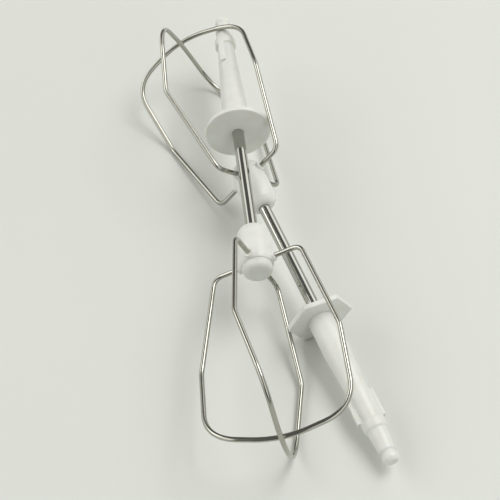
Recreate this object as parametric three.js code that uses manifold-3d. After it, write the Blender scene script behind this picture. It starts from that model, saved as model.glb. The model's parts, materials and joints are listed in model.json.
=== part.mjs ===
// A pair of hand-mixer beaters, lying crossed on a table with the round-collared one
// on top: its drive shank is pushed through the wire cage of the hexagonal-collared one.
// Millimetres, +Z up, the table is z = 0. Each beater is built along its own z axis:
// z = 0 is the plane where its wires leave the hub, +z runs to the bottom of the cage.
import * as THREE from 'three';
import { mergeVertices } from 'three/addons/utils/BufferGeometryUtils.js';
import Module from 'manifold-3d';

const wasm = await Module();
wasm.setup();

// ---- driving dimensions ----
const WIRE = 1.8;               // wire diameter
const ROD = 4.5;                // steel rod diameter
const GAP = 0.3;                // clearance between pieces that touch
const CAGE_R = 26.1;            // widest half-width of the cage, at the bends
const CAGE_DEPTH = 77.4;        // hub plane to the bottom crossing of the outer loop
const TIP = 128.3;              // hub plane to the end of the drive shank
const HUB_R = 6.3;
const SHANK_R = 4.9;
const COLLAR_T = 2.0;           // collar thickness
const BORE = ROD / 2 + GAP;     // radius of every bore that the rod sits in

// The loop's corners from the hub out to the bottom: radius, height, bend radius.
const LOOP = {
  socket: { r: 3.4, z: 0.5 },
  shoulder: { r: 17.0, z: 0.5, bend: 4.1 },
  bend: { r: CAGE_R, z: 38.2, bend: 7 },
  corner: { r: 25.1, z: 67.9, bend: 14.3 },
  bottom: { bend: 40 },
};
const LAYER = WIRE + 1.25;      // depth between the two loops; their bows take up 0.8 of it

// What differs between the two beaters. The cage's lower half leans round the axis
// by twist, the opposite way on each. pose is where the hub plane's centre lies,
// where the cage points (heading from +x, tilt from +z) and the turn about the axis.
const ROUND = {
  name: 'round', collarAt: 63.5, twist: -14, lugs: 90, outerLoop: 90,
  pose: { at: [2.2, -47.7, 25.4], heading: -84.6, tilt: 90.3, spin: 115.9 },
};
const HEX = {
  name: 'hex', collarAt: 66.2, twist: 22.7, lugs: 40, outerLoop: 0,
  pose: { at: [0.2, 0.2, 16.7], heading: 111.1, tilt: 85.0, spin: -138.1 },
};
const DISC_R = 12.7;            // round collar
const PLATE = { r: 12.3, corner: 0.8, turn: 46.2 };     // hexagonal collar, and its turn

// ---- materials ----
const plastic = (name) => new THREE.MeshStandardMaterial(
  { name, color: 0xe9ebe8, roughness: 0.38, metalness: 0 });
const steel = (name) => new THREE.MeshStandardMaterial(
  { name, color: 0xb9b8b2, roughness: 0.16, metalness: 1 });

// ---- from geometry to solid and back ----
const rad = THREE.MathUtils.degToRad;

function solid(geometry) {
  const bare = geometry.clone();
  bare.deleteAttribute('normal');
  bare.deleteAttribute('uv');
  const merged = mergeVertices(bare, 1e-4);
  const triVerts = new Uint32Array(merged.index.array);
  const vertProperties = new Float32Array(merged.attributes.position.array);
  return new wasm.Manifold(new wasm.Mesh({ numProp: 3, vertProperties, triVerts }));
}

function geometryOf(body) {
  const mesh = body.getMesh();
  const geometry = new THREE.BufferGeometry();
  const position = new THREE.BufferAttribute(mesh.vertProperties, mesh.numProp);
  geometry.setAttribute('position', position);
  geometry.setIndex(new THREE.BufferAttribute(mesh.triVerts, 1));
  geometry.computeVertexNormals();
  return geometry;
}

// A turned shape about z, from points (radius, height) that rise along the axis.
function turned(points, sides = 36) {
  const profile = points.map(([r, z]) => new THREE.Vector2(r, z));
  return new THREE.LatheGeometry(profile, sides).rotateX(Math.PI / 2);
}

// A round pin or bore lying along a radius of the hub, at one angle about the axis.
function radialRod(radius, from, to, angle) {
  const pin = new THREE.CylinderGeometry(radius, radius, to - from, 20);
  return pin.rotateZ(-Math.PI / 2).translate((from + to) / 2, 0, LOOP.socket.z).rotateZ(angle);
}

// ---- wire loops ----
const polar = (r, angle, z) => new THREE.Vector3(r * Math.cos(angle), r * Math.sin(angle), z);

// Straight runs joined by smooth bends. A bend takes at most half of a run.
function bentPath(corners) {
  const path = new THREE.CurvePath();
  let from = corners[0].point;
  for (let i = 1; i < corners.length - 1; i++) {
    const { point, bend } = corners[i];
    const back = corners[i - 1].point.clone().sub(point);
    const ahead = corners[i + 1].point.clone().sub(point);
    const half = back.angleTo(ahead) / 2;
    const reach = Math.min(bend / Math.tan(half), 0.48 * back.length(), 0.48 * ahead.length());
    const start = point.clone().addScaledVector(back.normalize(), reach);
    const end = point.clone().addScaledVector(ahead.normalize(), reach);
    path.add(new THREE.LineCurve3(from, start));
    path.add(new THREE.QuadraticBezierCurve3(start, point, end));
    from = end;
  }
  path.add(new THREE.LineCurve3(from, corners.at(-1).point));
  return path;
}

function wireLoop(angle, twist, depth) {
  const side = (base) => [
    { point: polar(LOOP.socket.r, base, LOOP.socket.z) },
    { point: polar(LOOP.shoulder.r, base, LOOP.shoulder.z), bend: LOOP.shoulder.bend },
    { point: polar(LOOP.bend.r, base, LOOP.bend.z), bend: LOOP.bend.bend },
    { point: polar(LOOP.corner.r, base + twist, LOOP.corner.z), bend: LOOP.corner.bend },
  ];
  const bottom = { point: new THREE.Vector3(0, 0, depth), bend: LOOP.bottom.bend };
  const path = bentPath([...side(angle), bottom, ...side(angle + Math.PI).reverse()]);
  const section = new THREE.Shape().absarc(0, 0, WIRE / 2, 0, 2 * Math.PI);
  return new THREE.ExtrudeGeometry(
    section, { steps: 96, curveSegments: 5, bevelEnabled: false, extrudePath: path });
}

// ---- the moulded pieces ----
const HUB_TOP = -15.0;
const CAP_FACE = 5.8;

function hub() {
  const body = turned([
    [0, HUB_TOP], [2.9, HUB_TOP], [3.9, -14.8], [4.8, -14.1], [5.6, -12.9], [6.1, -11.2],
    [HUB_R, -9.0], [HUB_R, 1.4], [5.9, 2.3], [0, 2.3],
  ]);
  let part = solid(body);
  for (let i = 0; i < 4; i++) {
    part = part.add(solid(radialRod(1.9, 3, 7.3, i * Math.PI / 2)));
  }
  for (let i = 0; i < 4; i++) {
    part = part.subtract(solid(radialRod(WIRE / 2 + GAP, 2.9, 9, i * Math.PI / 2)));
  }
  const bore = turned([[0, -25], [BORE, -25], [BORE, -3.6], [0, -3.6]], 28);
  const capSeat = turned([[0, 1.4], [4.3, 1.4], [4.3, 4], [0, 4]], 28);
  return geometryOf(part.subtract(solid(bore)).subtract(solid(capSeat)));
}

function hubCap() {
  return turned([
    [0, 1.7], [4.0, 1.7], [4.0, 2.7], [5.4, 2.7], [5.4, 5.2], [4.9, CAP_FACE], [0, CAP_FACE],
  ], 32);
}

function rod() {
  const end = ROD / 2;
  return turned([
    [0, -118], [end - 0.4, -118], [end, -117.6], [end, -4.4], [end - 0.4, -4], [0, -4],
  ], 28);
}

const LUG = { from: -100.5, to: -111.5, r: 5.2, width: 2.2 };

function driveShank(collarAt, lugTurn) {
  const base = -(collarAt + COLLAR_T + GAP);
  const body = turned([
    [0, base], [SHANK_R - 0.5, base], [SHANK_R, base - 0.8], [SHANK_R, -82],
    [4.1, -97], [3.3, -111.6], [4.2, -111.9], [4.2, -115.2], [3.6, -115.8],
    [3.0, -123.8], [2.4, -124.2], [2.4, -125.0], [3.0, -125.6],
    [2.9, -127.1], [2.1, -TIP], [0, -TIP],
  ].reverse());
  let part = solid(body);
  const length = LUG.from - LUG.to;
  for (const side of [0, Math.PI]) {
    const lug = new THREE.BoxGeometry(LUG.r - 2.8, LUG.width, length);
    lug.translate((LUG.r + 2.8) / 2, 0, (LUG.from + LUG.to) / 2).rotateZ(rad(lugTurn) + side);
    part = part.add(solid(lug));
  }
  const bore = turned([[0, -118.4], [BORE, -118.4], [BORE, base + 5], [0, base + 5]], 28);
  return geometryOf(part.subtract(solid(bore)));
}

// Both collars are thin plates on a short sleeve round the rod.
function collar(outline, collarAt) {
  const plate = new THREE.ExtrudeGeometry(
    outline, { depth: COLLAR_T, curveSegments: 24, bevelEnabled: false });
  plate.translate(0, 0, -collarAt - COLLAR_T);
  const [low, high] = [-collarAt - 9, 9 - collarAt];
  const bore = turned([[0, low], [BORE, low], [BORE, high], [0, high]], 28);
  return geometryOf(solid(plate).subtract(solid(bore)));
}

const discOutline = () => new THREE.Shape().absarc(0, 0, DISC_R, 0, 2 * Math.PI);

function plateOutline() {
  const { r, corner, turn } = PLATE;
  const shape = new THREE.Shape();
  for (let i = 0; i < 6; i++) {
    const middle = rad(turn + 60 * i);
    const reach = r - corner;
    shape.absarc(reach * Math.cos(middle), reach * Math.sin(middle), corner,
      middle - Math.PI / 6, middle + Math.PI / 6);
  }
  shape.closePath();
  return shape;
}

// ---- one beater ----
function beater({ name, collarAt, twist, lugs, outerLoop, pose }, outline) {
  const parts = {
    drive_shank: [driveShank(collarAt, lugs), plastic],
    collar: [collar(outline, collarAt), plastic],
    steel_rod: [rod(), steel],
    hub: [hub(), plastic],
    hub_cap: [hubCap(), plastic],
    outer_loop: [wireLoop(rad(outerLoop), rad(twist), CAGE_DEPTH), steel],
    inner_loop: [wireLoop(rad(90 - outerLoop), rad(twist), CAGE_DEPTH - LAYER), steel],
  };
  const turnedPart = new THREE.Group();
  turnedPart.rotation.z = rad(pose.spin);
  for (const [part, [geometry, material]] of Object.entries(parts)) {
    const mesh = new THREE.Mesh(geometry, material(`${name}_${part}`));
    mesh.name = `${name}_${part}`;
    turnedPart.add(mesh);
  }
  const aimed = new THREE.Group().add(turnedPart);
  aimed.position.set(...pose.at);
  aimed.rotation.set(0, rad(pose.tilt), rad(pose.heading), 'ZYX');
  return aimed;
}

const pair = new THREE.Group();
pair.add(beater(HEX, plateOutline()));
pair.add(beater(ROUND, discOutline()));

// Centre the pair on the origin, standing on z = 0.
const box = new THREE.Box3().setFromObject(pair, true);
const middle = box.getCenter(new THREE.Vector3());
pair.position.set(-middle.x, -middle.y, -box.min.z);
export default pair;
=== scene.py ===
"""A pair of hand-mixer beaters, lying crossed on a pale table: the one with the round collar
lies on top, with its drive shank pushed through the cage of the one with the hexagonal collar."""
import json
import math

import bmesh
import bpy
from mathutils import Matrix, Vector


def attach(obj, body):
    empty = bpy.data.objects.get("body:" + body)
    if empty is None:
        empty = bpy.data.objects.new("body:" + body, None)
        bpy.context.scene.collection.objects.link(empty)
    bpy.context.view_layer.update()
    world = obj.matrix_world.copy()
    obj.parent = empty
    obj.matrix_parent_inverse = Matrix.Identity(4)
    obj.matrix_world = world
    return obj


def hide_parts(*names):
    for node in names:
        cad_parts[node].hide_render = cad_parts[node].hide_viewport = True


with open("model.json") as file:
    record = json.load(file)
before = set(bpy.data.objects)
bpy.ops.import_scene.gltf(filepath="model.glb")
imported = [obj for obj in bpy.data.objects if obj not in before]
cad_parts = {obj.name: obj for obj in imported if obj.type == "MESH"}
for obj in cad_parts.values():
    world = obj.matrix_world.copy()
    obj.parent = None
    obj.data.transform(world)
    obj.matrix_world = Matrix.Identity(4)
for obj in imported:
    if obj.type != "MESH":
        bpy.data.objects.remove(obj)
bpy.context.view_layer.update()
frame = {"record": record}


# ---- Camera ----
# A close-up from in front and well above, aimed at the middle of the crossed pair.
# A long lens from half a metre away keeps both beaters nearly at one scale.
CAMERA_DISTANCE = 0.5335
CAMERA_ELEVATION = math.radians(50.44)
CAMERA_ROLL = math.radians(-1.11)
CAMERA_AIM = Vector((-0.00255, 0.00025, 0.0))
LENS = 100.8

camera_data = bpy.data.cameras.new("camera")
camera_data.lens = LENS
camera_data.sensor_width = 36.0
camera_data.clip_start = 0.01
camera = bpy.data.objects.new("camera", camera_data)
bpy.context.scene.collection.objects.link(camera)
camera.matrix_world = (
    Matrix.Translation(CAMERA_AIM)
    @ Matrix.Rotation(math.pi / 2 - CAMERA_ELEVATION, 4, "X")
    @ Matrix.Rotation(CAMERA_ROLL, 4, "Z")
    @ Matrix.Translation((0.0, 0.0, CAMERA_DISTANCE))
)
bpy.context.scene.camera = camera


# ---- Table and light ----
# A pale, slightly green-grey laminate table top, a soft window of light high on its right and
# a weaker one low on its left. The room is dark near the horizon and in a wide band overhead,
# between two bright sides, so that round steel shows lengthwise streaks.
TABLE_SIZE = 3.0
TABLE_DROP = 0.00004
TABLE_ROUGHNESS = 0.55
TABLE_COLOUR = (0.700, 0.712, 0.675, 1.0)
TABLE_FLECK = (0.675, 0.690, 0.655, 1.0)
LIGHT_TINT = (1.0, 0.995, 0.97)
WINDOWS = (
    {"name": "window", "from": (0.42, 0.20, 0.87), "distance": 1.5, "size": 0.80, "power": 7.8},
    {"name": "far window", "from": (-0.75, 0.25, 0.60), "distance": 1.6, "size": 0.70, "power": 2.0},
)
ROOM_STRENGTH = 1.72
ROOM_TINT = 0.985        # blue against red and green
# Place from left to right, and place above the horizon, each with how bright the room is there.
ROOM_ACROSS = (
    (0.00, 0.90), (0.12, 1.0), (0.20, 0.9), (0.24, 0.10), (0.58, 0.08), (0.63, 0.9),
    (0.78, 0.9), (0.83, 0.40), (1.00, 0.40),
)
ROOM_UP = ((0.0, 0.14), (0.16, 0.50), (0.42, 1.0))


def laminate():
    material = bpy.data.materials.new("table laminate")
    material.use_nodes = True
    nodes, links = material.node_tree.nodes, material.node_tree.links
    shader = nodes["Principled BSDF"]
    shader.inputs["Roughness"].default_value = TABLE_ROUGHNESS
    place = nodes.new("ShaderNodeTexCoord")
    mottle = nodes.new("ShaderNodeTexNoise")
    mottle.inputs["Scale"].default_value = 9.0
    mottle.inputs["Detail"].default_value = 4.0
    mix = nodes.new("ShaderNodeMix")
    mix.data_type = "RGBA"
    mix.inputs["A"].default_value = TABLE_COLOUR
    mix.inputs["B"].default_value = TABLE_FLECK
    links.new(place.outputs["Object"], mottle.inputs["Vector"])
    links.new(mottle.outputs["Fac"], mix.inputs["Factor"])
    links.new(mix.outputs["Result"], shader.inputs["Base Color"])
    return material


table_mesh = bpy.data.meshes.new("table")
half = TABLE_SIZE / 2
table_mesh.from_pydata(
    [(x, y, -TABLE_DROP) for x, y in ((-half, -half), (half, -half), (half, half), (-half, half))],
    [], [(0, 1, 2, 3)])
table_mesh.materials.append(laminate())
table = bpy.data.objects.new("table", table_mesh)
bpy.context.scene.collection.objects.link(table)

for pane in WINDOWS:
    light = bpy.data.lights.new(pane["name"], "AREA")
    light.shape = "SQUARE"
    light.size = pane["size"]
    light.energy = pane["power"]
    light.color = LIGHT_TINT
    window = bpy.data.objects.new(pane["name"], light)
    bpy.context.scene.collection.objects.link(window)
    towards = Vector(pane["from"]).normalized()
    window.location = towards * pane["distance"]
    window.rotation_euler = towards.to_track_quat("Z", "Y").to_euler()


def room():
    world = bpy.data.worlds.new("room")
    world.use_nodes = True
    nodes, links = world.node_tree.nodes, world.node_tree.links
    background = nodes["Background"]
    background.inputs["Strength"].default_value = ROOM_STRENGTH
    place = nodes.new("ShaderNodeTexCoord")
    towards = nodes.new("ShaderNodeSeparateXYZ")
    across = nodes.new("ShaderNodeMapRange")
    across.inputs["From Min"].default_value = -1.0
    both = nodes.new("ShaderNodeMix")
    both.data_type = "RGBA"
    both.blend_type = "MULTIPLY"
    both.inputs["Factor"].default_value = 1.0
    links.new(place.outputs["Generated"], towards.inputs["Vector"])
    links.new(towards.outputs["X"], across.inputs["Value"])
    bands = ((across.outputs["Result"], ROOM_ACROSS, "A"), (towards.outputs["Z"], ROOM_UP, "B"))
    for where, stops, side in bands:
        band = nodes.new("ShaderNodeValToRGB")
        ramp = band.color_ramp.elements
        for _ in stops[2:]:
            ramp.new(0.5)
        for stop, (position, bright) in zip(ramp, stops):
            stop.position = position
            stop.color = (bright, bright, ROOM_TINT * bright, 1.0)
        links.new(where, band.inputs["Fac"])
        links.new(band.outputs["Color"], both.inputs[side])
    links.new(both.outputs["Result"], background.inputs["Color"])
    return world


bpy.context.scene.world = room()
bpy.context.scene.view_settings.view_transform = "Standard"


# ---- Where each beater lies ----
# A beater is straight, so two of its mounts say how it lies: one on the shank's tip, and
# one on the collar's cage side, straight out from the axis along the beater's own x.
# Its own z runs from the shank to the cage, and z = 0 is where the wires leave the hub.
MM = 0.001
TIP_TO_HUB = 128.3
BEATERS = ("round", "hex")


def lie_of(beater):
    mounts = {mount["name"]: mount for mount in frame["record"]["mounts"]}
    tip = Vector(mounts[f"{beater}_shank_tip"]["pos_m"])
    axis = -Vector(mounts[f"{beater}_shank_tip"]["axis"]).normalized()
    reach = Vector(mounts[f"{beater}_collar_face"]["pos_m"]) - tip
    across = (reach - axis * reach.dot(axis)).normalized()
    turn = Matrix((across, axis.cross(across), axis)).transposed().to_4x4()
    hub = Matrix.Translation(tip + axis * TIP_TO_HUB * MM)
    return hub @ turn @ Matrix.Scale(MM, 4)


LIES = {beater: lie_of(beater) for beater in BEATERS}


def finish_piece(name, mesh, beater, material, stands_for):
    """Puts a mesh made in the beater's own millimetres where that beater lies."""
    mesh.transform(LIES[beater])
    mesh.materials.clear()
    mesh.materials.append(material)
    piece = bpy.data.objects.new(name, mesh)
    bpy.context.scene.collection.objects.link(piece)
    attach(piece, f"{beater}_beater")
    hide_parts(stands_for)
    return piece


# ---- Steel rods ----
# The backbone of a beater is a drawn and polished stainless rod, 4.5 mm thick. Both of its
# ends are pressed into the mouldings, so only the stretch from hub to collar shows.
ROD_RADIUS = 2.25
ROD_ENDS = (-118.0, -4.0)
ROD_CHAMFER = 0.4
ROD_DULL = (0.42, 0.42, 0.38, 1.0)
STEEL_RELIEF = 0.00002      # metres
ROD_COLOUR = (0.50, 0.50, 0.465, 1.0)


def drawn_steel_group():
    """Lengthwise drawing marks and cloudy polish, from a position in millimetres along z."""
    group = bpy.data.node_groups.new("drawn steel", "ShaderNodeTree")
    face = group.interface
    face.new_socket("Vector", in_out="INPUT", socket_type="NodeSocketVector")
    for name, value in (("Marks", 4.0), ("Clouds", 0.08), ("Smooth", 0.10), ("Rough", 0.22)):
        face.new_socket(name, in_out="INPUT", socket_type="NodeSocketFloat").default_value = value
    face.new_socket("Roughness", in_out="OUTPUT", socket_type="NodeSocketFloat")
    face.new_socket("Height", in_out="OUTPUT", socket_type="NodeSocketFloat")
    face.new_socket("Tarnish", in_out="OUTPUT", socket_type="NodeSocketFloat")
    nodes, links = group.nodes, group.links
    given = nodes.new("NodeGroupInput")
    result = nodes.new("NodeGroupOutput")
    stretch = nodes.new("ShaderNodeVectorMath")
    stretch.operation = "MULTIPLY"
    stretch.inputs[1].default_value = (1.0, 1.0, 0.02)
    marks = nodes.new("ShaderNodeTexNoise")
    marks.inputs["Detail"].default_value = 3.0
    clouds = nodes.new("ShaderNodeTexNoise")
    clouds.inputs["Detail"].default_value = 2.0
    spread = nodes.new("ShaderNodeMapRange")
    blend = nodes.new("ShaderNodeMath")
    blend.operation = "MULTIPLY"
    links.new(given.outputs["Vector"], stretch.inputs[0])
    links.new(stretch.outputs["Vector"], marks.inputs["Vector"])
    links.new(given.outputs["Marks"], marks.inputs["Scale"])
    links.new(given.outputs["Vector"], clouds.inputs["Vector"])
    links.new(given.outputs["Clouds"], clouds.inputs["Scale"])
    links.new(marks.outputs["Fac"], blend.inputs[0])
    links.new(clouds.outputs["Fac"], blend.inputs[1])
    links.new(blend.outputs["Value"], spread.inputs["Value"])
    spread.inputs["From Min"].default_value = 0.12
    spread.inputs["From Max"].default_value = 0.42
    links.new(given.outputs["Smooth"], spread.inputs["To Min"])
    links.new(given.outputs["Rough"], spread.inputs["To Max"])
    links.new(spread.outputs["Result"], result.inputs["Roughness"])
    links.new(marks.outputs["Fac"], result.inputs["Height"])
    links.new(clouds.outputs["Fac"], result.inputs["Tarnish"])
    return group


DRAWN_STEEL = drawn_steel_group()


def steel_material(name, bright, dull, marks, smooth, rough, bump):
    """A polished steel; what it returns still needs a position in its group's Vector."""
    material = bpy.data.materials.new(name)
    material.use_nodes = True
    nodes, links = material.node_tree.nodes, material.node_tree.links
    shader = nodes["Principled BSDF"]
    shader.inputs["Metallic"].default_value = 1.0
    surface = nodes.new("ShaderNodeGroup")
    surface.node_tree = DRAWN_STEEL
    surface.inputs["Marks"].default_value = marks
    surface.inputs["Smooth"].default_value = smooth
    surface.inputs["Rough"].default_value = rough
    tint = nodes.new("ShaderNodeMix")
    tint.data_type = "RGBA"
    tint.inputs["A"].default_value = bright
    tint.inputs["B"].default_value = dull
    relief = nodes.new("ShaderNodeBump")
    relief.inputs["Strength"].default_value = bump
    relief.inputs["Distance"].default_value = STEEL_RELIEF
    links.new(surface.outputs["Tarnish"], tint.inputs["Factor"])
    links.new(tint.outputs["Result"], shader.inputs["Base Color"])
    links.new(surface.outputs["Roughness"], shader.inputs["Roughness"])
    links.new(surface.outputs["Height"], relief.inputs["Height"])
    links.new(relief.outputs["Normal"], shader.inputs["Normal"])
    return material, surface


def beater_position(material, beater):
    """Adds nodes that give a point in the beater's own millimetres."""
    nodes, links = material.node_tree.nodes, material.node_tree.links
    place = nodes.new("ShaderNodeTexCoord")
    turn = nodes.new("ShaderNodeMapping")
    back = LIES[beater].inverted()
    turn.inputs["Location"].default_value = back.to_translation()
    turn.inputs["Rotation"].default_value = back.to_euler()
    turn.inputs["Scale"].default_value = back.to_scale()
    links.new(place.outputs["Object"], turn.inputs["Vector"])
    return turn.outputs["Vector"]


def turned(profile, sides):
    """A turned mesh about z. A profile that starts and ends on the axis closes there,
    and any other profile closes on itself round a bore."""
    mesh = bmesh.new()
    rings = []
    for radius, z in profile:
        if radius == 0.0:
            rings.append([mesh.verts.new((0.0, 0.0, z))])
            continue
        turns = [2 * math.pi * i / sides for i in range(sides)]
        rings.append([
            mesh.verts.new((radius * math.cos(a), radius * math.sin(a), z)) for a in turns])
    pairs = list(zip(rings, rings[1:]))
    if len(rings[0]) > 1:
        pairs.append((rings[-1], rings[0]))
    for low, high in pairs:
        for i in range(sides):
            j = (i + 1) % sides
            corners = [
                low[i % len(low)], low[j % len(low)], high[j % len(high)], high[i % len(high)]]
            mesh.faces.new(dict.fromkeys(corners))
    bmesh.ops.recalc_face_normals(mesh, faces=mesh.faces)
    return mesh


def mesh_of(name, shape, sharp=40.0):
    """A mesh from a bmesh, smooth except along edges sharper than an angle in degrees."""
    mesh = bpy.data.meshes.new(name)
    shape.to_mesh(mesh)
    shape.free()
    mesh.shade_smooth()
    mesh.set_sharp_from_angle(angle=math.radians(sharp))
    return mesh


for beater in BEATERS:
    low, high = ROD_ENDS
    edge = ROD_RADIUS - ROD_CHAMFER
    rings = [(0.0, low), (edge, low), (ROD_RADIUS, low + ROD_CHAMFER)]
    rings += [(ROD_RADIUS, high - ROD_CHAMFER), (edge, high), (0.0, high)]
    steel, surface = steel_material(
        f"{beater} rod steel", ROD_COLOUR, ROD_DULL, marks=5.0, smooth=0.05, rough=0.13, bump=0.25)
    steel.node_tree.links.new(beater_position(steel, beater), surface.inputs["Vector"])
    rod = mesh_of(f"{beater}_rod", turned(rings, 96))
    finish_piece(f"{beater}_rod", rod, beater, steel, f"{beater}_steel_rod")


# ---- Wire cages ----
# Each cage is two loops of 1.8 mm stainless spring wire, bent cold. A loop runs from the hub
# out to a shoulder, up its two legs and across the bottom, where the outer loop passes under
# the inner one. The far half of the cage leans round the axis, opposite ways on the two.
WIRE = 1.8
LAYER = WIRE + 1.25
CAGE_DEPTH = 77.4
SOCKET = (3.4, 0.5)
SHOULDER = (17.0, 0.5, 4.1)
BEND = (26.1, 38.2, 7.0)
CORNER = (25.1, 67.9, 14.3)
BOTTOM_BEND = 40.0
LEAN = {"round": math.radians(-14.0), "hex": math.radians(22.7)}
OUTER_LOOP_AT = {"round": math.pi / 2, "hex": 0.0}
WIRE_COLOUR = (0.48, 0.475, 0.43, 1.0)
WIRE_DULL = (0.38, 0.375, 0.33, 1.0)
BEND_STEPS = 24


def around(radius, angle, z):
    return Vector((radius * math.cos(angle), radius * math.sin(angle), z))


def bent_path(corners):
    """Points on straight runs joined by smooth bends; a bend takes at most half of a run."""
    path = [corners[0][0]]
    for (before, _), (corner, bend), (after, _) in zip(corners, corners[1:], corners[2:]):
        back, ahead = before - corner, after - corner
        wanted = bend / math.tan(back.angle(ahead) / 2)
        reach = min(wanted, 0.48 * back.length, 0.48 * ahead.length)
        start, end = corner + back.normalized() * reach, corner + ahead.normalized() * reach
        for i in range(BEND_STEPS + 1):
            t = i / BEND_STEPS
            path.append(start * (1 - t) ** 2 + corner * 2 * t * (1 - t) + end * t ** 2)
    return path + [corners[-1][0]]


def loop_path(angle, lean, depth):
    def leg(base):
        return [
            (around(SOCKET[0], base, SOCKET[1]), 0.0),
            (around(SHOULDER[0], base, SHOULDER[1]), SHOULDER[2]),
            (around(BEND[0], base, BEND[1]), BEND[2]),
            (around(CORNER[0], base + lean, CORNER[1]), CORNER[2]),
        ]
    bottom = [(Vector((0, 0, depth)), BOTTOM_BEND)]
    return bent_path(leg(angle) + bottom + leg(angle + math.pi)[::-1])


def wire_tree():
    """Geometry nodes that turn a path into round wire, and note on its skin how far along
    the wire a point is and where round it."""
    tree = bpy.data.node_groups.new("bent wire", "GeometryNodeTree")
    face = tree.interface
    face.new_socket("Path", in_out="INPUT", socket_type="NodeSocketGeometry")
    face.new_socket("Radius", in_out="INPUT", socket_type="NodeSocketFloat").default_value = 0.9
    face.new_socket("Ring spacing", in_out="INPUT", socket_type="NodeSocketFloat").default_value = 0.5
    face.new_socket("Sides", in_out="INPUT", socket_type="NodeSocketInt").default_value = 24
    face.new_socket("Finish", in_out="INPUT", socket_type="NodeSocketMaterial")
    face.new_socket("Wire", in_out="OUTPUT", socket_type="NodeSocketGeometry")
    nodes, links = tree.nodes, tree.links
    given = nodes.new("NodeGroupInput")
    result = nodes.new("NodeGroupOutput")
    rings = nodes.new("GeometryNodeResampleCurve")
    rings.mode = "LENGTH"
    length = nodes.new("GeometryNodeSplineParameter")
    along = nodes.new("GeometryNodeStoreNamedAttribute")
    along.data_type = "FLOAT"
    along.domain = "POINT"
    along.inputs["Name"].default_value = "along"
    section = nodes.new("GeometryNodeCurvePrimitiveCircle")
    position = nodes.new("GeometryNodeInputPosition")
    round_it = nodes.new("GeometryNodeStoreNamedAttribute")
    round_it.data_type = "FLOAT_VECTOR"
    round_it.domain = "POINT"
    round_it.inputs["Name"].default_value = "round"
    skin = nodes.new("GeometryNodeCurveToMesh")
    skin.inputs["Fill Caps"].default_value = True
    smooth = nodes.new("GeometryNodeSetShadeSmooth")
    realize = nodes.new("GeometryNodeRealizeInstances")
    finish = nodes.new("GeometryNodeSetMaterial")
    links.new(given.outputs["Path"], rings.inputs["Curve"])
    links.new(given.outputs["Ring spacing"], rings.inputs["Length"])
    links.new(rings.outputs["Curve"], along.inputs["Geometry"])
    links.new(length.outputs["Length"], along.inputs["Value"])
    links.new(given.outputs["Radius"], section.inputs["Radius"])
    links.new(given.outputs["Sides"], section.inputs["Resolution"])
    links.new(section.outputs["Curve"], round_it.inputs["Geometry"])
    links.new(position.outputs["Position"], round_it.inputs["Value"])
    links.new(along.outputs["Geometry"], skin.inputs["Curve"])
    links.new(round_it.outputs["Geometry"], skin.inputs["Profile Curve"])
    links.new(skin.outputs["Mesh"], smooth.inputs["Geometry"])
    links.new(smooth.outputs["Geometry"], realize.inputs["Geometry"])
    links.new(realize.outputs["Geometry"], finish.inputs["Geometry"])
    links.new(given.outputs["Finish"], finish.inputs["Material"])
    links.new(finish.outputs["Geometry"], result.inputs["Wire"])
    return tree


def grown(source, tree, settings):
    """The plain mesh that a geometry tree makes from an object, with its inputs set."""
    modifier = source.modifiers.new("tree", "NODES")
    modifier.node_group = tree
    sockets = {item.name: item.identifier for item in tree.interface.items_tree}
    for name, value in settings.items():
        modifier[sockets[name]] = value
    bpy.context.view_layer.update()
    shape = source.evaluated_get(bpy.context.evaluated_depsgraph_get())
    mesh = bpy.data.meshes.new_from_object(shape)
    bpy.data.objects.remove(source)
    return mesh


def wire_skin_position(material):
    """Adds nodes that give a point on the wire as if it were straight, along z."""
    nodes, links = material.node_tree.nodes, material.node_tree.links
    round_it = nodes.new("ShaderNodeAttribute")
    round_it.attribute_name = "round"
    along = nodes.new("ShaderNodeAttribute")
    along.attribute_name = "along"
    lift = nodes.new("ShaderNodeCombineXYZ")
    place = nodes.new("ShaderNodeVectorMath")
    place.operation = "ADD"
    links.new(along.outputs["Fac"], lift.inputs["Z"])
    links.new(round_it.outputs["Vector"], place.inputs[0])
    links.new(lift.outputs["Vector"], place.inputs[1])
    return place.outputs["Vector"]


WIRE_TREE = wire_tree()
wire_steel, wire_surface = steel_material(
    "wire steel", WIRE_COLOUR, WIRE_DULL, marks=6.0, smooth=0.12, rough=0.22, bump=0.10)
wire_steel.node_tree.links.new(wire_skin_position(wire_steel), wire_surface.inputs["Vector"])

for beater in BEATERS:
    outer = OUTER_LOOP_AT[beater]
    loops = {"outer": (outer, CAGE_DEPTH), "inner": (math.pi / 2 - outer, CAGE_DEPTH - LAYER)}
    for which, (angle, depth) in loops.items():
        path = loop_path(angle, LEAN[beater], depth)
        curve = bpy.data.curves.new(f"{beater} {which} path", "CURVE")
        curve.dimensions = "3D"
        spline = curve.splines.new("POLY")
        spline.points.add(len(path) - 1)
        for point, place in zip(spline.points, path):
            point.co = (*place, 1.0)
        source = bpy.data.objects.new(f"{beater} {which} path", curve)
        bpy.context.scene.collection.objects.link(source)
        mesh = grown(source, WIRE_TREE, {"Radius": WIRE / 2, "Finish": wire_steel})
        finish_piece(
            f"{beater}_{which}_wire", mesh, beater, wire_steel,
            f"{beater}_{which}_loop")


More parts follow.
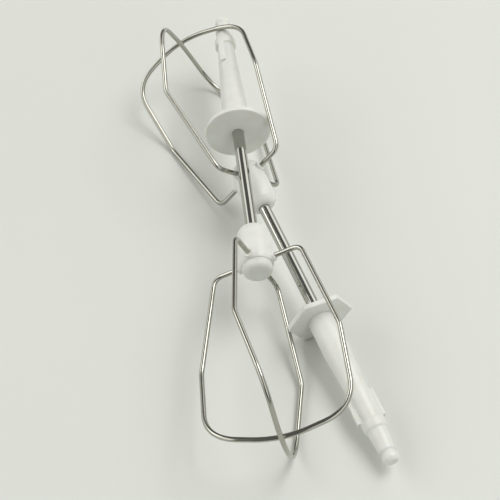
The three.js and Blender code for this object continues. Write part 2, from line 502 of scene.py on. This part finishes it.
# ---- Hubs ----
# The hub is moulded in white plastic on the rod's end: a domed barrel with four short bosses
# near its foot, one for each wire end. It is satin, with a faint warm stain here and there.
HUB_RADIUS = 6.3
HUB_TOP = -15.0
HUB_FOOT = 2.3
BOSS_RADIUS = 1.9
BOSS_REACH = 7.3
SNUG = 0.03                 # what a bore is wider than what sits in it
BORE_SPARE = 0.2            # what a bore is deeper than what sits in it
HUB_VOXEL = 0.22
HUB_SOFTENING = 5
SKIN_RELIEF = 0.00003       # metres
WHITE = (0.755, 0.765, 0.730, 1.0)
WHITE_WARM = (0.72, 0.72, 0.665, 1.0)


def moulded_skin_group():
    """The satin skin of a moulding: fine grain, broad flow marks and a faint warm stain."""
    group = bpy.data.node_groups.new("moulded skin", "ShaderNodeTree")
    face = group.interface
    face.new_socket("Vector", in_out="INPUT", socket_type="NodeSocketVector")
    for name, value in (("Grain", 5.0), ("Flow", 0.16), ("Gloss", 0.30), ("Dull", 0.42)):
        face.new_socket(name, in_out="INPUT", socket_type="NodeSocketFloat").default_value = value
    face.new_socket("Clean", in_out="INPUT", socket_type="NodeSocketColor")
    face.new_socket("Warm", in_out="INPUT", socket_type="NodeSocketColor")
    face.new_socket("Colour", in_out="OUTPUT", socket_type="NodeSocketColor")
    face.new_socket("Roughness", in_out="OUTPUT", socket_type="NodeSocketFloat")
    face.new_socket("Height", in_out="OUTPUT", socket_type="NodeSocketFloat")
    nodes, links = group.nodes, group.links
    given = nodes.new("NodeGroupInput")
    result = nodes.new("NodeGroupOutput")
    grain = nodes.new("ShaderNodeTexNoise")
    grain.inputs["Detail"].default_value = 4.0
    flow = nodes.new("ShaderNodeTexNoise")
    flow.inputs["Detail"].default_value = 2.0
    gloss = nodes.new("ShaderNodeMapRange")
    gloss.inputs["From Min"].default_value = 0.35
    gloss.inputs["From Max"].default_value = 0.65
    stain = nodes.new("ShaderNodeMapRange")
    stain.inputs["From Min"].default_value = 0.45
    stain.inputs["From Max"].default_value = 0.75
    tint = nodes.new("ShaderNodeMix")
    tint.data_type = "RGBA"
    for texture, size in ((grain, "Grain"), (flow, "Flow")):
        links.new(given.outputs["Vector"], texture.inputs["Vector"])
        links.new(given.outputs[size], texture.inputs["Scale"])
    links.new(grain.outputs["Fac"], gloss.inputs["Value"])
    links.new(given.outputs["Gloss"], gloss.inputs["To Min"])
    links.new(given.outputs["Dull"], gloss.inputs["To Max"])
    links.new(flow.outputs["Fac"], stain.inputs["Value"])
    links.new(stain.outputs["Result"], tint.inputs["Factor"])
    links.new(given.outputs["Clean"], tint.inputs["A"])
    links.new(given.outputs["Warm"], tint.inputs["B"])
    links.new(tint.outputs["Result"], result.inputs["Colour"])
    links.new(gloss.outputs["Result"], result.inputs["Roughness"])
    links.new(grain.outputs["Fac"], result.inputs["Height"])
    return group


MOULDED_SKIN = moulded_skin_group()


def plastic_material(name, beater, clean, warm, gloss, dull, bump, glow):
    material = bpy.data.materials.new(name)
    material.use_nodes = True
    nodes, links = material.node_tree.nodes, material.node_tree.links
    shader = nodes["Principled BSDF"]
    shader.inputs["IOR"].default_value = 1.49
    shader.inputs["Subsurface Weight"].default_value = glow
    shader.inputs["Subsurface Radius"].default_value = (1.0, 0.85, 0.6)
    shader.inputs["Subsurface Scale"].default_value = 0.0015
    surface = nodes.new("ShaderNodeGroup")
    surface.node_tree = MOULDED_SKIN
    surface.inputs["Clean"].default_value = clean
    surface.inputs["Warm"].default_value = warm
    surface.inputs["Gloss"].default_value = gloss
    surface.inputs["Dull"].default_value = dull
    relief = nodes.new("ShaderNodeBump")
    relief.inputs["Strength"].default_value = bump
    relief.inputs["Distance"].default_value = SKIN_RELIEF
    links.new(beater_position(material, beater), surface.inputs["Vector"])
    links.new(surface.outputs["Colour"], shader.inputs["Base Color"])
    links.new(surface.outputs["Roughness"], shader.inputs["Roughness"])
    links.new(surface.outputs["Height"], relief.inputs["Height"])
    links.new(relief.outputs["Normal"], shader.inputs["Normal"])
    return material


def radial_pin(radius, start, end, angle, sides=32):
    """A round pin or bore along a radius of the hub, level with the wires."""
    pin = turned([(0.0, start), (radius, start), (radius, end), (0.0, end)], sides)
    lay = Matrix.Rotation(angle, 4, "Z") @ Matrix.Translation((0, 0, SOCKET[1]))
    pin.transform(lay @ Matrix.Rotation(math.pi / 2, 4, "Y"))
    return pin


def joined(shapes):
    """One bmesh with all the given ones in it, side by side or overlapping."""
    whole = bmesh.new()
    for shape in shapes:
        part = bpy.data.meshes.new("part")
        shape.to_mesh(part)
        shape.free()
        whole.from_mesh(part)
        bpy.data.meshes.remove(part)
    return whole


def moulded(name, solids, voxel, smoothing, cuts):
    """One moulding from overlapping solids, with a mould's soft corners, and then bored."""
    body = bpy.data.objects.new(name, mesh_of(name, joined(solids)))
    bpy.context.scene.collection.objects.link(body)
    remesh = body.modifiers.new("one skin", "REMESH")
    remesh.mode = "VOXEL"
    remesh.voxel_size = voxel
    soften = body.modifiers.new("soft corners", "SMOOTH")
    soften.factor = 0.5
    soften.iterations = smoothing
    drill_mesh = mesh_of("drill", joined(cuts))
    drill = bpy.data.objects.new("drill", drill_mesh)
    bpy.context.scene.collection.objects.link(drill)
    bore = body.modifiers.new("bores", "BOOLEAN")
    bore.operation = "DIFFERENCE"
    bore.solver = "MANIFOLD"
    bore.object = drill
    bpy.context.view_layer.update()
    shape = body.evaluated_get(bpy.context.evaluated_depsgraph_get())
    mesh = bpy.data.meshes.new_from_object(shape)
    bpy.data.objects.remove(body)
    bpy.data.objects.remove(drill)
    mesh.shade_smooth()
    mesh.set_sharp_from_angle(angle=math.radians(45))
    return mesh


QUARTERS = [math.pi / 2 * i for i in range(4)]

for beater in BEATERS:
    barrel = turned([
        (0.0, HUB_TOP), (2.9, HUB_TOP), (3.9, -14.8), (4.8, -14.1), (5.6, -12.9), (6.1, -11.2),
        (HUB_RADIUS, -9.0), (HUB_RADIUS, 0.6), (6.1, 1.4), (5.7, HUB_FOOT), (0.0, HUB_FOOT)], 96)
    bosses = [radial_pin(BOSS_RADIUS, 3.0, BOSS_REACH, angle) for angle in QUARTERS]
    socket_end = SOCKET[0] - BORE_SPARE
    sockets = [radial_pin(WIRE / 2 + SNUG, socket_end, 9.0, angle) for angle in QUARTERS]
    bore, bore_end = ROD_RADIUS + SNUG, ROD_ENDS[1] + BORE_SPARE
    rod_bore = turned([(0.0, -25.0), (bore, -25.0), (bore, bore_end), (0.0, bore_end)], 64)
    cap_seat = turned([(0.0, 1.5), (4.05, 1.5), (4.05, 6.0), (0.0, 6.0)], 64)
    white = plastic_material(
        f"{beater} hub white", beater, WHITE, WHITE_WARM, gloss=0.28, dull=0.42, bump=0.25, glow=0.15)
    cuts = [*sockets, rod_bore, cap_seat]
    hub = moulded(f"{beater}_hub_barrel", [barrel, *bosses], HUB_VOXEL, HUB_SOFTENING, cuts)
    finish_piece(f"{beater}_hub_barrel", hub, beater, white, f"{beater}_hub")


# ---- Hub caps ----
# A small plug snaps into the hub's cage end and hides the ends of the wires. It is nearly the hub's
# white and a little rougher; its white is also painted a little darker, as painted shade for the shade
# its face lies in. It has a shallow dish in its face and a gate mark in it.
CAP_RADIUS = 5.4
CAP_FACE = 5.8
# Painted shade: both cap whites are darker than the hub's, to stand in for the shade on the cap's
# downward face.
CAP_WHITE_PAINTED_SHADE = (0.70, 0.715, 0.68, 1.0)
CAP_WARM_PAINTED_SHADE = (0.66, 0.67, 0.625, 1.0)

for beater in BEATERS:
    plug = turned([
        (0.0, 1.6), (4.0, 1.6), (4.0, HUB_FOOT + 0.02), (CAP_RADIUS, HUB_FOOT + 0.02),
        (CAP_RADIUS, 3.9), (5.3, 4.5), (5.05, 5.0), (4.6, 5.4), (4.0, 5.67), (3.4, CAP_FACE),
        (2.8, 5.76), (0.9, 5.7), (0.75, 5.74), (0.6, 5.78), (0.0, 5.78)], 96)
    white = plastic_material(
        f"{beater} cap painted shade white", beater, CAP_WHITE_PAINTED_SHADE, CAP_WARM_PAINTED_SHADE, gloss=0.38, dull=0.55, bump=0.30, glow=0.10)
    cap = mesh_of(f"{beater}_cap_plug", plug, 50.0)
    finish_piece(f"{beater}_cap_plug", cap, beater, white, f"{beater}_hub_cap")


# ---- Collars ----
# The collar sits at the foot of the drive shank. It is a thin white disc on one beater and a
# hexagonal plate on the other, so that each goes into the right socket of the mixer.
COLLAR_AT = {"round": 63.5, "hex": 66.2}
COLLAR_THICKNESS = 2.0
COLLAR_EDGE = 0.45
DISC_RADIUS = 12.7
PLATE_RADIUS = 12.3
PLATE_CORNER = 0.8
PLATE_TURN = math.radians(46.2)
EDGE_STEPS = 6
ARC_STEPS = 10


def rim_steps():
    """Inset and height of each ring over the rounded edge of a plate, cage side first."""
    steps = []
    for i in range(EDGE_STEPS + 1):
        turn = math.pi / 2 * i / EDGE_STEPS
        steps.append((COLLAR_EDGE * (1 - math.sin(turn)), COLLAR_EDGE * (math.cos(turn) - 1)))
    back = [(inset, -COLLAR_THICKNESS - height) for inset, height in reversed(steps)]
    return steps + back


def disc(radius):
    """A point on a circle for each of the plate outline's points."""
    count = 6 * (ARC_STEPS + 1)
    return [(radius * math.cos(a), radius * math.sin(a)) for a in
            (PLATE_TURN - math.pi / 6 + 2 * math.pi * i / count for i in range(count))]


def hexagon(inset):
    outline = []
    for side in range(6):
        middle = PLATE_TURN + side * math.pi / 3
        for i in range(ARC_STEPS + 1):
            turn = middle + math.pi / 6 * (2 * i / ARC_STEPS - 1)
            centre = PLATE_RADIUS - PLATE_CORNER
            arc = PLATE_CORNER - inset
            outline.append((
                centre * math.cos(middle) + arc * math.cos(turn),
                centre * math.sin(middle) + arc * math.sin(turn)))
    return outline


def collar_shape(beater):
    outline = hexagon if beater == "hex" else lambda inset: disc(DISC_RADIUS - inset)
    rings = [(outline(inset), height) for inset, height in rim_steps()]
    bore = ROD_RADIUS + SNUG
    rings = [(disc(bore), 0.0)] + rings + [(disc(bore), -COLLAR_THICKNESS)]
    shape = bmesh.new()
    layers = [[shape.verts.new((x, y, z - COLLAR_AT[beater])) for x, y in ring] for ring, z in rings]
    for low, high in zip(layers, layers[1:] + layers[:1]):
        for i in range(len(low)):
            j = (i + 1) % len(low)
            shape.faces.new((low[i], low[j], high[j], high[i]))
    bmesh.ops.recalc_face_normals(shape, faces=shape.faces)
    return shape


for beater in BEATERS:
    white = plastic_material(
        f"{beater} collar white", beater, WHITE, WHITE_WARM, gloss=0.30, dull=0.42, bump=0.2, glow=0.2)
    collar = mesh_of(f"{beater}_collar_plate", collar_shape(beater), 35.0)
    finish_piece(f"{beater}_collar_plate", collar, beater, white, f"{beater}_collar")


# ---- Drive shanks ----
# The tapered white shank that the mixer's socket takes. Two lugs near its end carry the turn,
# the ring beyond them steadies it in the socket, and the grooved tip snaps into place there.
SHANK_RADIUS = 4.9
LUG_ENDS = (-111.5, -100.5)
LUG_REACH = 5.2
LUG_WIDTH = 2.2
SHANK_VOXEL = 0.2
SHANK_SOFTENING = 4
LUG_TURN = {"round": math.radians(90.0), "hex": math.radians(40.0)}


def lug(angle):
    low, high = LUG_ENDS
    block = bmesh.new()
    bmesh.ops.create_cube(block, size=1.0)
    size = (LUG_REACH, LUG_WIDTH, high - low)
    middle = Matrix.Translation((LUG_REACH / 2, 0.0, (low + high) / 2))
    block.transform(middle @ Matrix.Diagonal((*size, 1.0)))
    block.transform(Matrix.Rotation(angle, 4, "Z"))
    return block


for beater in BEATERS:
    foot = -(COLLAR_AT[beater] + COLLAR_THICKNESS)
    shank = turned([
        (0.0, -TIP_TO_HUB), (2.1, -TIP_TO_HUB), (2.9, -127.2), (3.0, -125.7), (2.4, -125.0),
        (2.4, -124.2), (3.0, -123.8), (3.6, -115.8), (4.2, -115.2), (4.2, -111.9), (3.3, -111.6),
        (4.1, -97.0), (SHANK_RADIUS, -82.0), (SHANK_RADIUS, foot), (0.0, foot)], 96)
    lugs = [lug(LUG_TURN[beater] + half_turn) for half_turn in (0.0, math.pi)]
    bore, bore_end = ROD_RADIUS + SNUG, ROD_ENDS[0] - BORE_SPARE
    rod_bore = turned([(0.0, bore_end), (bore, bore_end), (bore, foot + 5), (0.0, foot + 5)], 64)
    white = plastic_material(
        f"{beater} shank white", beater, WHITE, WHITE_WARM, gloss=0.28, dull=0.40, bump=0.25, glow=0.2)
    mesh = moulded(
        f"{beater}_shank_moulding", [shank, *lugs], SHANK_VOXEL, SHANK_SOFTENING, [rod_bore])
    finish_piece(
        f"{beater}_shank_moulding", mesh, beater, white, f"{beater}_drive_shank")
